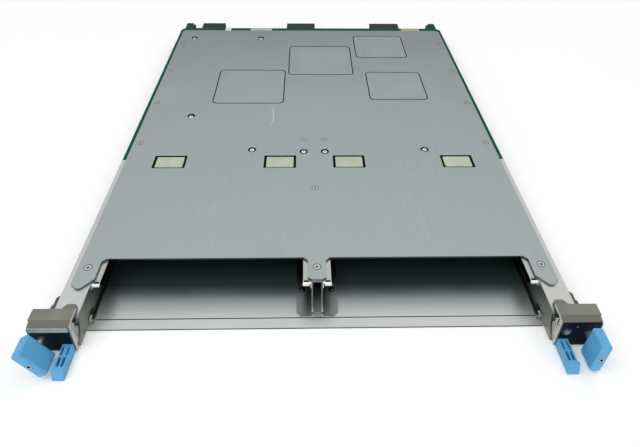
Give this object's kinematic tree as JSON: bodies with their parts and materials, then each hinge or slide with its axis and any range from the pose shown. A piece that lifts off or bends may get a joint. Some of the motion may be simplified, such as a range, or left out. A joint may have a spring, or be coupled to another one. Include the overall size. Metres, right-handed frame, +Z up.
{
  "type": "switch line card",
  "caption": "Full-width chassis line card with a covered circuit board, an open module-bay frame, turning ejector knobs and fixed pull handles.",
  "frame": {"origin": "underside of the bay pan, middle of the card, at the step where the rails meet the board", "axes": "+X to the right seen from the handles, +Y from the handles to the rear connectors, +Z up out of the cover"},
  "size_m": [0.4285, 0.5937, 0.0305],
  "materials": {
    "zinc_cover": "zinc-plated sheet, satin",
    "board_green": "green solder resist",
    "bright_fastener": "bright zinc",
    "shaft_steel": "dark plated",
    "heatsink_aluminium": "extruded, plain",
    "package_lid": "nickel lid",
    "black_plastic": "moulded, black",
    "cream_pad": "insulating pad",
    "silver_rail": "bright sheet",
    "bay_floor_steel": "polished sheet",
    "bay_bracket_steel": "bright sheet",
    "taupe_bracket": "warm grey, satin",
    "navy_label": "printed plate, bare",
    "blue_plastic": "moulded, fine texture",
    "button_grey": "moulded",
    "lamp_lens": "diffused lens"
  },
  "bodies": {
    "card": {"backing_plate_centre": "zinc_cover", "backing_plate_left": "zinc_cover", "backing_plate_right_front": "zinc_cover", "backing_plate_right_rear": "zinc_cover", "base_pan": "bay_floor_steel", "board_screws": "bright_fastener", "button_switch": "black_plastic", "centre_spine": "bay_bracket_steel", "circuit_board": "board_green", "cover_screws": "bright_fastener", "divider_bracket_screws": "bright_fastener", "handle_screws": "bright_fastener", "heatsink_centre": "heatsink_aluminium", "heatsink_left": "heatsink_aluminium", "heatsink_right_front": "heatsink_aluminium", "heatsink_right_rear": "heatsink_aluminium", "left_divider_bracket": "bay_bracket_steel", "left_ejector_bracket": "taupe_bracket", "left_guide_module": "black_plastic", "left_inner_bay_guide": "bay_bracket_steel", "left_label_plate": "navy_label", "left_outer_bay_guide": "bay_bracket_steel", "left_pull_handle": "blue_plastic", "left_rail": "silver_rail", "module_connector_1": "black_plastic", "module_connector_2": "black_plastic", "module_connector_3": "black_plastic", "module_connector_4": "black_plastic", "plate_screws": "bright_fastener", "power_converter_1": "black_plastic", "power_converter_2": "black_plastic", "press_in_nuts": "bright_fastener", "processor_centre": "package_lid", "processor_left": "package_lid", "processor_right_front": "package_lid", "processor_right_rear": "package_lid", "rear_connector_centre": "black_plastic", "rear_connector_left": "black_plastic", "rear_connector_right": "black_plastic", "right_divider_bracket": "bay_bracket_steel", "right_ejector_bracket": "taupe_bracket", "right_guide_module": "black_plastic", "right_inner_bay_guide": "bay_bracket_steel", "right_label_plate": "navy_label", "right_outer_bay_guide": "bay_bracket_steel", "right_pull_handle": "blue_plastic", "right_rail": "silver_rail", "rivets": "bright_fastener", "status_lamp": "lamp_lens", "top_cover": "zinc_cover", "window_pads": "cream_pad"},
    "left_ejector": {"left_knob": "blue_plastic", "left_ejector_shaft": "shaft_steel", "left_retaining_rings": "bright_fastener", "left_knob_screw": "bright_fastener"},
    "right_ejector": {"right_knob": "blue_plastic", "right_ejector_shaft": "shaft_steel", "right_retaining_rings": "bright_fastener", "right_knob_screw": "bright_fastener"},
    "push_button": {"status_button": "button_grey"}
  },
  "joints": [
    {"name": "left_knob_turn", "type": "hinge", "parent": "card", "child": "left_ejector", "pos_m": [-0.2044, -0.209, 0.0164], "axis": [0, 1, 0], "continuous": true},
    {"name": "right_knob_turn", "type": "hinge", "parent": "card", "child": "right_ejector", "pos_m": [0.2044, -0.209, 0.0164], "axis": [0, 1, 0], "continuous": true},
    {"name": "button_press", "type": "slide", "parent": "card", "child": "push_button", "axis": [0, 1, 0], "range_m": [0, 0.0008], "stiffness_N_per_m": 400, "springref_m": -0.001}
  ]
}
